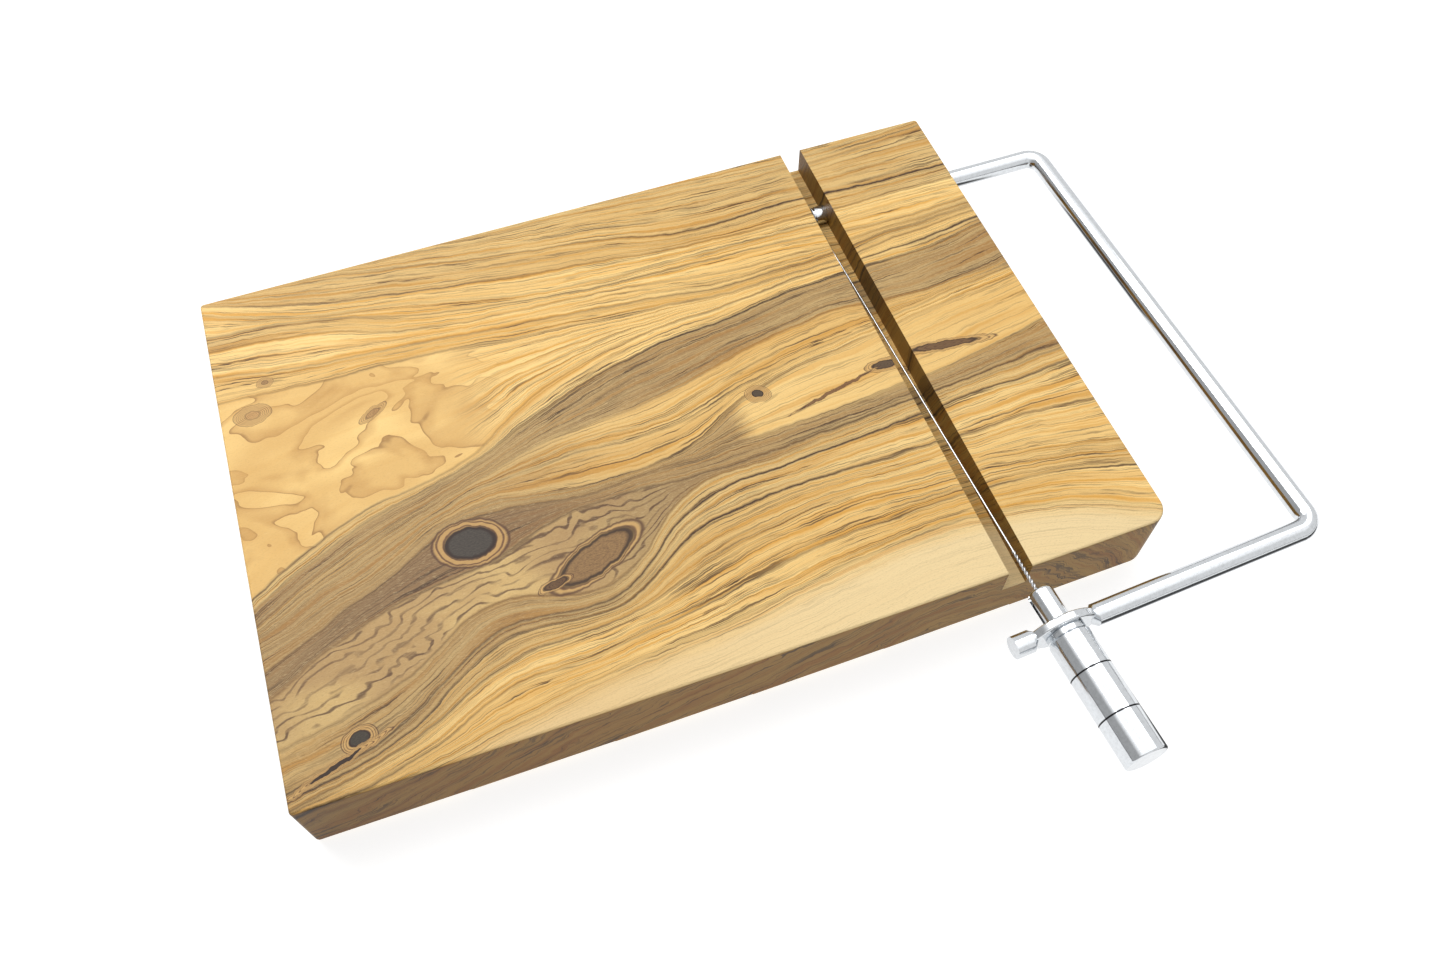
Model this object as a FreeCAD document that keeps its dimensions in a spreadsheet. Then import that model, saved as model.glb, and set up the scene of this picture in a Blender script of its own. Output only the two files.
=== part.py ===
# Cheese wire cutter: an olive-wood board with a slot along its depth, and a bent steel bow that is
# hinged in the board and carries a taut wire, a draw stud and a screwed handle.
#
# Frame, in millimetres: the origin is the centre of the board's underside, +X runs to the side the
# bow stands on, +Y to the back edge (the hinge end) and +Z up.
# The bow's own frame has its origin where the wire meets the hinge axis, with the hinge axis as X.
# The stud, pin, washer and handle are drawn along their own +Z, which points from the wire to the
# free end of the handle, and have their origin where their axis meets the bow's near arm.
import FreeCAD, Part
import Sketcher
import math
import os

# Points this close to an axis of a sketch lie on it, and edges this close to a face belong to it.
ON_AXIS = 1e-9
NEAR = 0.01

Vector = FreeCAD.Vector
Placement = FreeCAD.Placement
Rotation = FreeCAD.Rotation

SIZES = (
    # the board
    ("board_width", 250.0, "side to side"),
    ("board_depth", 174.0, "back edge to the middle of the front edge"),
    ("board_thickness", 25.0, ""),
    ("front_bulge", 1.1, "how far the hand-sawn front edge bows out in its middle"),
    ("front_right_round", 6.0, "plan radius of the worn front corner beside the bow"),
    ("corner_round", 1.2, "plan radius of the other three corners"),
    ("edge_round", 0.7, "round on the top edges"),
    ("base_round", 2.0, "round on the bottom edges"),
    ("slot_from_right", 48.2, "right edge to the middle of the slot"),
    ("slot_width", 7.4, ""),
    ("slot_depth", 9.8, ""),
    ("hinge_from_back", 24.3, "back edge to the hinge axis"),
    ("hinge_drop", 8.0, "top face to the hinge axis"),
    ("bore_past_slot", 9.0, "blind end of the hinge bore beyond the slot"),
    ("running_gap", 0.08, "radial clearance of every turning or sliding fit"),
    # the bow
    ("rod_radius", 3.2, ""),
    ("bend_radius", 5.0, "centre line of both bends"),
    ("bow_reach", 36.8, "right edge of the board to the rod's centre line"),
    ("bow_past_front", 15.0, "board's front corners to the bend at the near arm"),
    ("bow_lift", 2.5, "degrees that the bow is raised at rest"),
    ("arm_skew", 2.8, "degrees that the near arm is off square"),
    ("eye_offset", 2.6, "slot middle to the handle axis, at the near arm"),
    ("wire_aside", 1.0, "slot middle to the wire's place on the hinge rod"),
    ("pin_end_gap", 0.5, "between the rod's end and the end of its bore"),
    ("wire_groove_depth", 0.75, "neck in the rod where the wire is looped on"),
    ("wire_groove_width", 1.6, ""),
    # the eye pressed in the near arm
    ("eye_thickness", 2.6, ""),
    ("eye_half_height", 7.2, ""),
    ("eye_half_length", 9.2, ""),
    ("eye_end_height", 3.0, "half height of the flat where it runs into the rod"),
    ("eye_edge_round", 0.6, ""),
    ("eye_ramp", 1.7, "length over which the round rod is pressed flat"),
    ("eye_overlap", 0.9, "how far the ramp runs over the eye's end"),
    ("stub_length", 5.2, "round rod left beyond the eye"),
    # the wire
    ("wire_radius", 0.3, ""),
    ("twist_radius", 0.58, "outside of the two strands twisted together"),
    ("rear_twist", 9.0, ""),
    ("front_twist", 14.5, ""),
    ("twist_taper", 0.9, "where the strands close up into a loop"),
    ("taper_share", 0.7, "thin end of that taper, as a share of the wire"),
    ("seam_turn", 50.0, "degrees that the straight bars' seams are turned clear of the loops'"),
    ("loop_radius", 1.45, "centre line of the loop round the anchor pin"),
    ("loop_length", 6.2, "straight part of that loop"),
    # the draw stud and its anchor pin
    ("stud_radius", 3.75, ""),
    ("stud_reach", 12.4, "near arm to the stud's tip"),
    ("stud_tail", 4.0, "full stud past the near arm, inside the handle"),
    ("stud_dome", 1.4, "round at the stud's tip"),
    ("shank_radius", 2.5, "threaded shank, over the thread"),
    ("shank_length", 20.0, ""),
    ("shank_chamfer", 0.5, ""),
    ("stud_slot_width", 1.5, ""),
    ("stud_slot_past", 2.3, "slot past the stud's axis"),
    ("stud_slot_length", 14.5, "tip to the slot's closed end, past the wire's loop at full draw"),
    ("anchor_radius", 0.9, ""),
    ("anchor_setback", 3.9, "near arm to the anchor pin"),
    ("anchor_aside", 0.6, "stud's axis to the anchor pin, towards the slot's open side"),
    ("anchor_top", 2.1, "top of the pin above the stud's axis"),
    ("anchor_length", 5.5, ""),
    ("anchor_gap", 0.02, "pin in its hole, held by the wire's pull"),
    # the washer and the handle
    ("washer_radius", 5.7, ""),
    ("washer_thickness", 2.0, ""),
    ("washer_chamfer", 0.25, ""),
    ("face_gap", 0.05, "play between the washer and the handle"),
    ("handle_radius", 6.1, ""),
    ("handle_length", 36.8, ""),
    ("handle_rim", 0.6, "round at the handle's free end"),
    ("handle_chamfer", 0.3, "at the washer's end"),
    ("first_groove", 11.0, "handle's front face to its first groove"),
    ("groove_pitch", 13.3, ""),
    ("groove_width", 0.35, ""),
    ("groove_depth", 0.3, ""),
    ("counterbore_depth", 6.0, "room for the stud to be drawn in"),
    ("thread_depth", 31.0, "blind end of the handle's thread from its front face"),
)

doc = FreeCAD.newDocument("cheese_wire_cutter")
sheet = doc.addObject("Spreadsheet::Sheet", "Sizes")
for row, (alias, value, note) in enumerate(SIZES, start=1):
    sheet.set(f"A{row}", alias)
    sheet.set(f"B{row}", str(value))
    sheet.set(f"C{row}", note)
    sheet.setAlias(f"B{row}", alias)
doc.recompute()


def size(alias):
    """The number in a cell of the sheet."""
    return float(sheet.get(alias))


class Tied:
    """A number together with the expression on the sheet that gives it."""

    def __init__(self, value, text):
        self.value = value
        self.text = text

    def __add__(self, other):
        other = tied(other)
        return Tied(self.value + other.value, f"({self.text} + {other.text})")

    def __sub__(self, other):
        other = tied(other)
        return Tied(self.value - other.value, f"({self.text} - {other.text})")

    def __mul__(self, other):
        other = tied(other)
        return Tied(self.value * other.value, f"({self.text} * {other.text})")

    def __truediv__(self, other):
        other = tied(other)
        return Tied(self.value / other.value, f"({self.text} / {other.text})")

    def __neg__(self):
        return Tied(-self.value, f"(0 - {self.text})")


def tied(thing):
    """The named size of the sheet, or a plain number, as a Tied."""
    if isinstance(thing, Tied):
        return thing
    if isinstance(thing, str):
        return Tied(size(thing), f"Sizes.{thing}")
    return Tied(float(thing), str(float(thing)))


def of_angle(function, degrees):
    """Sine, cosine or tangent of an angle that is tied to the sheet."""
    value = getattr(math, function)(math.radians(degrees.value))
    return Tied(value, f"{function}({degrees.text} * 1 deg)")


def root(square):
    """Square root of a tied number."""
    return Tied(math.sqrt(square.value), f"sqrt({square.text})")


def body(name):
    """An empty body that becomes one piece."""
    piece = doc.addObject("PartDesign::Body", name)
    piece.Label = name
    return piece


def sketch_on(piece, name, role, offset=None):
    """A sketch on one of the body's own origin planes."""
    sketch = piece.newObject("Sketcher::SketchObject", name)
    plane = next(p for p in piece.Origin.OriginFeatures if p.Role == role)
    sketch.AttachmentSupport = [(plane, "")]
    sketch.MapMode = "FlatFace"
    if offset is not None:
        sketch.AttachmentOffset = offset
    return sketch


def bind(sketch, constraint, expression):
    """Adds a dimension to a sketch and ties it to the sheet."""
    index = sketch.addConstraint(constraint)
    sketch.setExpression(f"Constraints[{index}]", expression)


def hold(sketch, item, end, x, y):
    """Holds one point of a sketch at (x, y), each measured from the origin and tied to the sheet."""
    for kind, axis, distance in (("DistanceX", -2, tied(x)), ("DistanceY", -1, tied(y))):
        if abs(distance.value) < ON_AXIS:
            sketch.addConstraint(Sketcher.Constraint("PointOnObject", item, end, axis))
        elif distance.value > 0:
            bind(sketch, Sketcher.Constraint(kind, -1, 1, item, end, distance.value), distance.text)
        else:
            bind(sketch, Sketcher.Constraint(kind, item, end, -1, 1, -distance.value), (-distance).text)


def circle(sketch, radius, x=0.0, y=0.0):
    """A circle whose radius and centre follow the sheet."""
    centre = Vector(tied(x).value, tied(y).value, 0)
    index = sketch.addGeometry(Part.Circle(centre, Vector(0, 0, 1), radius.value))
    bind(sketch, Sketcher.Constraint("Radius", index, radius.value), radius.text)
    hold(sketch, index, 3, x, y)


def polygon(sketch, points):
    """Closed straight outline whose corners follow the sheet."""
    corners = [(tied(x), tied(y)) for x, y in points]
    count = len(corners)
    for k, (x, y) in enumerate(corners):
        next_x, next_y = corners[(k + 1) % count]
        sketch.addGeometry(Part.LineSegment(Vector(x.value, y.value, 0), Vector(next_x.value, next_y.value, 0)))
    for k in range(count):
        sketch.addConstraint(Sketcher.Constraint("Coincident", k, 2, (k + 1) % count, 1))
    for k, (x, y) in enumerate(corners):
        hold(sketch, k, 1, x, y)


def pad(piece, sketch, name, expression, midplane=False, reverse=False):
    """Pad whose length follows the sheet."""
    feature = piece.newObject("PartDesign::Pad", name)
    feature.Profile = sketch
    feature.Midplane = midplane
    feature.Reversed = reverse
    feature.setExpression("Length", expression)
    doc.recompute()
    return feature


def pocket(piece, sketch, name, expression, midplane=False, reverse=False):
    """Pocket whose depth follows the sheet; it has to take material away."""
    before = piece.Shape.Volume
    feature = piece.newObject("PartDesign::Pocket", name)
    feature.Profile = sketch
    feature.Midplane = midplane
    feature.Reversed = reverse
    feature.setExpression("Length", expression)
    doc.recompute()
    if piece.Shape.Volume >= before:
        raise RuntimeError(f"{name} cuts nothing")


def edges_where(shape, test):
    """Names of the edges whose middle passes the test."""
    names = []
    for k, edge in enumerate(shape.Edges, start=1):
        middle = edge.valueAt((edge.FirstParameter + edge.LastParameter) / 2)
        if test(edge, middle):
            names.append(f"Edge{k}")
    return names


def fillet(piece, name, base, names, expression):
    """Fillet on named edges of the last feature."""
    feature = piece.newObject("PartDesign::Fillet", name)
    feature.Base = (base, names)
    feature.setExpression("Radius", expression)
    doc.recompute()
    if not names or not feature.isValid():
        raise RuntimeError(f"{name} has no edge to round, or failed")
    return feature


def revolve(piece, name, outline):
    """Solid of revolution about the body's Z axis, from points given as (radius, height)."""
    sketch = sketch_on(piece, name + "_outline", "XZ_Plane")
    polygon(sketch, outline)
    feature = piece.newObject("PartDesign::Revolution", name)
    feature.Profile = sketch
    feature.ReferenceAxis = (sketch, ["V_Axis"])
    feature.Angle = 360
    doc.recompute()
    return feature


# Places shared by several pieces, tied to the sheet.
skew = tied("arm_skew")
half_width = size("board_width") / 2
slot_middle = tied("board_width") / 2 - "slot_from_right"
hinge_y = tied("board_depth") / 2 - "hinge_from_back"
hinge_z = tied("board_thickness") - "hinge_drop"
wire_foot = slot_middle - "wire_aside"
bow_place = Placement(Vector(wire_foot.value, hinge_y.value, hinge_z.value),
                      Rotation(Vector(1, 0, 0), -size("bow_lift")))
bend_x = tied("slot_from_right") + "bow_reach" + "wire_aside"
bow_length = tied("board_depth") - "hinge_from_back" + "bow_past_front"
# The near arm runs from the front bend towards the slot, a little off square.
eye_x = tied("eye_offset") + "wire_aside"
eye_y = -(bow_length + (bend_x - eye_x) * of_angle("tan", skew))
eye_point = Vector(eye_x.value, eye_y.value, 0)
eye_place = Placement(eye_point, Rotation(Vector(0, 0, 1), skew.value))
# Stud frame: +Z along the handle, +Y up.
stud_place = bow_place.multiply(eye_place).multiply(Placement(Vector(), Rotation(Vector(1, 0, 0), 90)))


def make_board():
    """Board: sawn outline with a bowed front edge, slot right through, hinge bore from the right."""
    board = body("board")
    back = size("board_depth") / 2
    front = size("front_bulge") - back
    outline = sketch_on(board, "board_outline", "XY_Plane")
    corners = [(-half_width, front), (-half_width, back), (half_width, back), (half_width, front)]
    for k in range(3):
        outline.addGeometry(Part.LineSegment(Vector(*corners[k], 0), Vector(*corners[k + 1], 0)))
    outline.addGeometry(Part.Arc(Vector(*corners[0], 0), Vector(0, -back, 0), Vector(*corners[3], 0)))
    outline.addConstraint([
        Sketcher.Constraint("Coincident", 0, 2, 1, 1),
        Sketcher.Constraint("Coincident", 1, 2, 2, 1),
        Sketcher.Constraint("Coincident", 2, 2, 3, 2),
        Sketcher.Constraint("Coincident", 3, 1, 0, 1),
        Sketcher.Constraint("Vertical", 0),
        Sketcher.Constraint("Vertical", 2),
        Sketcher.Constraint("Symmetric", 1, 1, 1, 2, -2),
        Sketcher.Constraint("Horizontal", 3, 1, 3, 2),
    ])
    bind(outline, Sketcher.Constraint("DistanceX", 1, 1, 1, 2, 2 * half_width), "Sizes.board_width")
    bind(outline, Sketcher.Constraint("DistanceY", -1, 1, 1, 1, back), "Sizes.board_depth / 2")
    bind(outline, Sketcher.Constraint("DistanceY", 0, 1, -1, 1, -front),
         "Sizes.board_depth / 2 - Sizes.front_bulge")
    bulge = size("front_bulge")
    bind(outline, Sketcher.Constraint("Radius", 3, (half_width ** 2 + bulge ** 2) / (2 * bulge)),
         "(Sizes.board_width ^ 2 / 4 + Sizes.front_bulge ^ 2) / (2 * Sizes.front_bulge)")
    block = pad(board, outline, "block", "Sizes.board_thickness")

    def upright(edge, x_sign, y_sign):
        middle = edge.CenterOfMass
        return (abs(edge.tangentAt(edge.FirstParameter).z) > 1 - NEAR
                and middle.x * x_sign > 0 and middle.y * y_sign > 0)

    worn = edges_where(block.Shape, lambda edge, at: upright(edge, 1, -1))
    rounds = fillet(board, "worn_corner", block, worn, "Sizes.front_right_round")
    small = edges_where(rounds.Shape, lambda edge, at: abs(at.x) > half_width - NEAR
                        and (upright(edge, 1, 1) or upright(edge, -1, 1) or upright(edge, -1, -1)))
    rounds = fillet(board, "corners", rounds, small, "Sizes.corner_round")
    thickness = size("board_thickness")
    top = edges_where(rounds.Shape, lambda edge, at: at.z > thickness - NEAR)
    rounds = fillet(board, "top_edges", rounds, top[:1], "Sizes.edge_round")
    base = edges_where(rounds.Shape, lambda edge, at: at.z < NEAR)
    fillet(board, "base_edges", rounds, base[:1], "Sizes.base_round")

    slot = sketch_on(board, "slot_section", "XZ_Plane")
    floor = tied("board_thickness") - "slot_depth"
    above = tied("board_thickness") + "edge_round"
    left = slot_middle - tied("slot_width") / 2
    right = slot_middle + tied("slot_width") / 2
    polygon(slot, [(left, floor), (right, floor), (right, above), (left, above)])
    pocket(board, slot, "slot", "2 * Sizes.board_depth", midplane=True)

    blind_end = left.value - size("bore_past_slot")
    bore = sketch_on(board, "bore_section", "YZ_Plane", Placement(Vector(0, 0, blind_end), Rotation()))
    circle(bore, tied("rod_radius") + "running_gap", hinge_y, hinge_z)
    pocket(board, bore, "hinge_bore",
           "Sizes.slot_from_right + Sizes.slot_width / 2 + Sizes.bore_past_slot + 1", reverse=True)
    return board


def make_bow():
    """Bow: one bent rod that is hinge pin, long side and near arm, with an eye pressed in the arm."""
    bow = body("bow")
    radius = tied("rod_radius")
    bend = tied("bend_radius")
    pin_end = -(tied("slot_width") / 2 + "bore_past_slot" - "pin_end_gap" - "wire_aside")
    cos_skew = of_angle("cos", skew)
    sin_skew = of_angle("sin", skew)
    along = Vector(cos_skew.value, sin_skew.value, 0)
    # The round rod runs a little way over the eye's end, so that the two overlap.
    ramp_start = tied("eye_half_length") + "eye_ramp" - "eye_overlap"
    arm_end = (eye_x + ramp_start * cos_skew, eye_y + ramp_start * sin_skew)
    # The front bend turns through the skew angle less than a right angle.
    front_tangent = bend * of_angle("tan", (tied(90) - skew) / 2)
    corner_in = (bend_x - bend, tied(0))
    corner_out = (bend_x, -bend)
    front_in = (bend_x, front_tangent - bow_length)
    front_out = (bend_x - front_tangent * cos_skew, -bow_length - front_tangent * sin_skew)
    spine = sketch_on(bow, "centre_line", "XY_Plane")

    def at(point):
        """A tied point as a vector."""
        return Vector(point[0].value, point[1].value, 0)

    def bent(start, end, centre, corner):
        """Arc of the bend radius between two points, bowed towards the corner."""
        middle = centre + (corner - centre).normalize() * bend.value
        return Part.Arc(at(start), middle, at(end))

    inside_x = bend_x.value - bend.value
    spine.addGeometry(Part.LineSegment(Vector(pin_end.value, 0, 0), at(corner_in)))
    spine.addGeometry(bent(corner_in, corner_out, Vector(inside_x, -bend.value, 0), Vector(bend_x.value, 0, 0)))
    spine.addGeometry(Part.LineSegment(at(corner_out), at(front_in)))
    spine.addGeometry(bent(front_in, front_out, Vector(inside_x, front_in[1].value, 0),
                           Vector(bend_x.value, -bow_length.value, 0)))
    spine.addGeometry(Part.LineSegment(at(front_out), at(arm_end)))
    hold(spine, 0, 1, pin_end, 0)
    hold(spine, 0, 2, *corner_in)
    hold(spine, 2, 1, *corner_out)
    hold(spine, 2, 2, *front_in)
    hold(spine, 4, 1, *front_out)
    hold(spine, 4, 2, *arm_end)
    # Arcs are kept counter-clockwise, so each starts where the next straight begins.
    for straight, arc in ((0, 1), (2, 3)):
        spine.addConstraint(Sketcher.Constraint("Coincident", arc, 2, straight, 2))
        spine.addConstraint(Sketcher.Constraint("Coincident", arc, 1, straight + 2, 1))
        bind(spine, Sketcher.Constraint("Radius", arc, bend.value), bend.text)
    section = sketch_on(bow, "rod_section", "YZ_Plane", Placement(Vector(0, 0, pin_end.value), Rotation()))
    circle(section, radius)
    rod = bow.newObject("PartDesign::AdditivePipe", "rod")
    rod.Profile = section
    rod.Spine = (spine, [f"Edge{k}" for k in range(1, 6)])
    doc.recompute()

    # The flat of the eye lies square to the handle's axis.
    flat_place = Placement(Vector(eye_point.x, 0, -eye_point.y), Rotation(Vector(0, 1, 0), skew.value))
    half_long = tied("eye_half_length")
    half_high = tied("eye_half_height")
    end_high = tied("eye_end_height")
    rise = half_high - end_high
    eye = sketch_on(bow, "eye_outline", "XZ_Plane", flat_place)
    signs = ((1, 1), (-1, 1), (-1, -1), (1, -1))
    ends = [Vector(x * half_long.value, y * end_high.value, 0) for x, y in signs]
    eye.addGeometry(Part.Arc(ends[0], Vector(0, half_high.value, 0), ends[1]))
    eye.addGeometry(Part.LineSegment(ends[1], ends[2]))
    eye.addGeometry(Part.Arc(ends[2], Vector(0, -half_high.value, 0), ends[3]))
    eye.addGeometry(Part.LineSegment(ends[3], ends[0]))
    for k in range(4):
        eye.addConstraint(Sketcher.Constraint("Coincident", k, 2, (k + 1) % 4, 1))
    hold(eye, 1, 1, -half_long, end_high)
    hold(eye, 1, 2, -half_long, -end_high)
    hold(eye, 3, 1, half_long, -end_high)
    hold(eye, 3, 2, half_long, end_high)
    brow = (half_long * half_long + rise * rise) / (rise * 2)
    for arc in (0, 2):
        bind(eye, Sketcher.Constraint("Radius", arc, brow.value), brow.text)
    flat = pad(bow, eye, "eye_flat", "Sizes.eye_thickness", midplane=True)
    rim = edges_where(flat.Shape, lambda edge, at: edge.Curve.TypeId == "Part::GeomCircle"
                      and abs(edge.Curve.Radius - brow.value) < NEAR)
    fillet(bow, "eye_rim", flat, rim, "Sizes.eye_edge_round")

    def across(name, distance):
        """Sketch square to the near arm, this far from the handle's axis."""
        middle = eye_point + along * distance
        place = Placement(Vector(middle.y, 0, middle.x), Rotation(Vector(0, 1, 0), skew.value))
        return sketch_on(bow, name, "YZ_Plane", place)

    def ramp(side, name):
        """Where the round rod runs down into the flat, on one side of the eye."""
        round_end = across(name + "_round", side * ramp_start.value)
        circle(round_end, radius)
        flat_end = across(name + "_flat", side * (ramp_start.value - size("eye_ramp")))
        flat_end.addGeometry(Part.Ellipse(Vector(0, radius.value, 0), Vector(size("eye_thickness") / 2, 0, 0),
                                          Vector()))
        loft = bow.newObject("PartDesign::AdditiveLoft", name)
        loft.Profile = round_end
        loft.Sections = [flat_end]
        loft.Ruled = True
        doc.recompute()

    ramp(1, "arm_ramp")
    ramp(-1, "stub_ramp")
    stub = across("stub_section", -ramp_start.value)
    circle(stub, radius)
    pad(bow, stub, "stub", "Sizes.stub_length", reverse=True)

    hole = sketch_on(bow, "eye_hole_section", "XZ_Plane", flat_place)
    circle(hole, tied("stud_radius") + "running_gap")
    pocket(bow, hole, "eye_hole", "4 * Sizes.rod_radius", midplane=True)

    neck = sketch_on(bow, "neck_outline", "XY_Plane")
    half_neck = tied("wire_groove_width") / 2
    floor = radius - "wire_groove_depth"
    outside = radius * 2
    polygon(neck, [(-half_neck, floor), (half_neck, floor), (half_neck, outside), (-half_neck, outside)])
    before = bow.Shape.Volume
    groove = bow.newObject("PartDesign::Groove", "wire_neck")
    groove.Profile = neck
    groove.ReferenceAxis = (neck, ["H_Axis"])
    groove.Angle = 360
    doc.recompute()
    if bow.Shape.Volume >= before:
        raise RuntimeError("wire_neck cuts nothing")
    bow.Placement = bow_place
    return bow


def make_wire():
    """Wire: looped round the bow's neck and round the anchor pin, each end twisted on itself."""
    thin = tied("wire_radius")
    neck_loop = tied("rod_radius") - "wire_groove_depth" + thin + "running_gap"
    cos_skew = of_angle("cos", skew)
    sin_skew = of_angle("sin", skew)
    anchor_x = eye_x - sin_skew * "anchor_setback" - cos_skew * "anchor_aside"
    anchor_y = eye_y + cos_skew * "anchor_setback" - sin_skew * "anchor_aside"
    reach = root(anchor_x * anchor_x + anchor_y * anchor_y)
    yaw = math.degrees(math.atan2(anchor_x.value, -anchor_y.value))
    # The pin bears on the far end of its loop.
    far_centre = reach - (tied("loop_radius") - thin - "anchor_radius" - "face_gap")
    near_centre = far_centre - "loop_length"
    loop_start = near_centre - "loop_radius"
    pieces = []

    def cylinder(name, radius, start, end, x=0.0):
        """Round bar along -Y between two distances from the hinge axis, its seam clear of the loops'."""
        bar = doc.addObject("Part::Cylinder", name)
        bar.setExpression("Radius", radius.text)
        bar.setExpression("Height", (end - start).text)
        along_wire = Rotation(Vector(1, 0, 0), 90)
        seam = Rotation(Vector(0, 0, 1), size("seam_turn"))
        bar.Placement = Placement(Vector(x, -start.value, 0), along_wire.multiply(seam))
        pieces.append(bar)

    def taper(name, at, loop_side):
        """Where the two strands close up into the wire of a loop, whose centre line is at this distance."""
        cone = doc.addObject("Part::Cone", name)
        cone.setExpression("Radius1", "Sizes.twist_radius")
        cone.setExpression("Radius2", "Sizes.wire_radius * Sizes.taper_share")
        cone.setExpression("Height", "Sizes.twist_taper")
        start = at.value - loop_side * size("twist_taper")
        cone.Placement = Placement(Vector(0, -start, 0), Rotation(Vector(1, 0, 0), 90 * loop_side))
        pieces.append(cone)

    def ring(name, major, centre, axis, sweep, turn=0.0):
        """Whole or half ring of wire."""
        loop = doc.addObject("Part::Torus", name)
        loop.Radius1 = major.value
        loop.setExpression("Radius1", major.text)
        loop.setExpression("Radius2", thin.text)
        loop.Angle3 = sweep
        loop.Placement = Placement(centre, axis.multiply(Rotation(Vector(0, 0, 1), turn)))
        pieces.append(loop)

    strands = tied("twist_radius")
    loop = tied("loop_radius")
    ring("neck_loop", neck_loop, Vector(), Rotation(Vector(0, 1, 0), 90), 360)
    taper("rear_taper", neck_loop, -1)
    cylinder("rear_strands", strands, neck_loop + "twist_taper", neck_loop + "rear_twist")
    cylinder("straight", thin, neck_loop + tied("rear_twist") / 2, loop_start - tied("front_twist") / 2)
    cylinder("front_strands", strands, loop_start - "front_twist", loop_start - "twist_taper")
    taper("front_taper", loop_start, 1)
    ring("near_bend", loop, Vector(0, -near_centre.value, 0), Rotation(), 180)
    ring("far_bend", loop, Vector(0, -far_centre.value, 0), Rotation(), 180, 180)
    for side, name in ((-1, "left_strand"), (1, "right_strand")):
        cylinder(name, thin, near_centre, far_centre, side * loop.value)
    wire = doc.addObject("Part::MultiFuse", "cutting_wire")
    wire.Label = "cutting_wire"
    wire.Shapes = pieces
    wire.Placement = bow_place.multiply(Placement(Vector(), Rotation(Vector(0, 0, 1), yaw)))
    doc.recompute()
    return wire


def make_stud():
    """Draw stud: domed and slotted at the wire's end, full size through the eye, thinner in the thread."""
    stud = body("tension_stud")
    radius = tied("stud_radius")
    tip = -tied("stud_reach")
    tail = tied("stud_tail")
    shank = tied("shank_radius")
    end = tail + "shank_length"
    turned = revolve(stud, "turned", [
        (0, tip), (radius, tip), (radius, tail), (shank, tail), (shank, end - "shank_chamfer"),
        (shank - "shank_chamfer", end), (0, end)])
    dome = edges_where(turned.Shape, lambda edge, at: abs(at.z - tip.value) < NEAR
                       and edge.Length > radius.value)
    fillet(stud, "dome", turned, dome, "Sizes.stud_dome")

    slot = sketch_on(stud, "slot_section", "XZ_Plane")
    open_side = radius * -2
    before_tip = tip * 2
    closed_end = tip + "stud_slot_length"
    past = tied("stud_slot_past")
    polygon(slot, [(open_side, before_tip), (past, before_tip), (past, closed_end), (open_side, closed_end)])
    pocket(stud, slot, "slot", "Sizes.stud_slot_width", midplane=True)

    cross = sketch_on(stud, "cross_hole_section", "XZ_Plane",
                      Placement(Vector(0, 0, -size("anchor_top")), Rotation()))
    circle(cross, tied("anchor_radius") + "anchor_gap", -tied("anchor_aside"), -tied("anchor_setback"))
    pocket(stud, cross, "cross_hole", "2 * Sizes.stud_radius", reverse=True)
    stud.Placement = stud_place
    return stud


def make_anchor_pin():
    """Anchor pin: a dowel driven up into the stud, which the wire's front loop hooks round."""
    pin = body("anchor_pin")
    section = sketch_on(pin, "pin_section", "XZ_Plane",
                        Placement(Vector(0, 0, -size("anchor_top")), Rotation()))
    circle(section, tied("anchor_radius"), -tied("anchor_aside"), -tied("anchor_setback"))
    pad(pin, section, "dowel", "Sizes.anchor_length")
    pin.Placement = stud_place
    return pin


def make_washer():
    """Thrust washer between the eye and the handle."""
    washer = body("thrust_washer")
    start = tied("eye_thickness") / 2
    end = start + "washer_thickness"
    inner = tied("stud_radius") + "running_gap"
    outer = tied("washer_radius")
    rim = outer - "washer_chamfer"
    revolve(washer, "ring", [(inner, start), (rim, start), (outer, start + "washer_chamfer"),
                             (outer, end - "washer_chamfer"), (rim, end), (inner, end)])
    washer.Placement = stud_place
    return washer


def make_handle():
    """Handle: turned bar with two fine grooves, counterbored and tapped from its front face."""
    handle = body("handle")
    radius = tied("handle_radius")
    start = tied("eye_thickness") / 2 + "washer_thickness" + "face_gap"
    end = start + "handle_length"
    deep = radius - "groove_depth"
    bore = tied("stud_radius") + "running_gap"
    tapped = tied("shank_radius") + "running_gap"
    step = start + "counterbore_depth"
    bottom = start + "thread_depth"
    half = tied("groove_width") / 2
    outline = [(bore, start), (radius - "handle_chamfer", start), (radius, start + "handle_chamfer")]
    for k in range(2):
        middle = start + "first_groove" + tied("groove_pitch") * k
        outline += [(radius, middle - half), (deep, middle - half),
                    (deep, middle + half), (radius, middle + half)]
    outline += [(radius, end), (0, end), (0, bottom), (tapped, bottom), (tapped, step), (bore, step)]
    turned = revolve(handle, "turned", outline)
    rim = edges_where(turned.Shape, lambda edge, at: abs(at.z - end.value) < NEAR
                      and edge.Length > radius.value)
    fillet(handle, "rim", turned, rim, "Sizes.handle_rim")
    handle.Placement = stud_place
    return handle


pieces = [make_board(), make_bow(), make_wire(), make_stud(), make_anchor_pin(), make_washer(), make_handle()]
doc.recompute()

for thing in doc.Objects:
    if "Invalid" in thing.State or "Error" in thing.State:
        raise RuntimeError(f"{thing.Name} failed: {thing.State}")
for piece in pieces:
    if piece.Shape.isNull() or not piece.Shape.isValid():
        raise RuntimeError(f"{piece.Label} is not a valid shape")
    if len(piece.Shape.Solids) != 1:
        raise RuntimeError(f"{piece.Label} has {len(piece.Shape.Solids)} solids")

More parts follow.
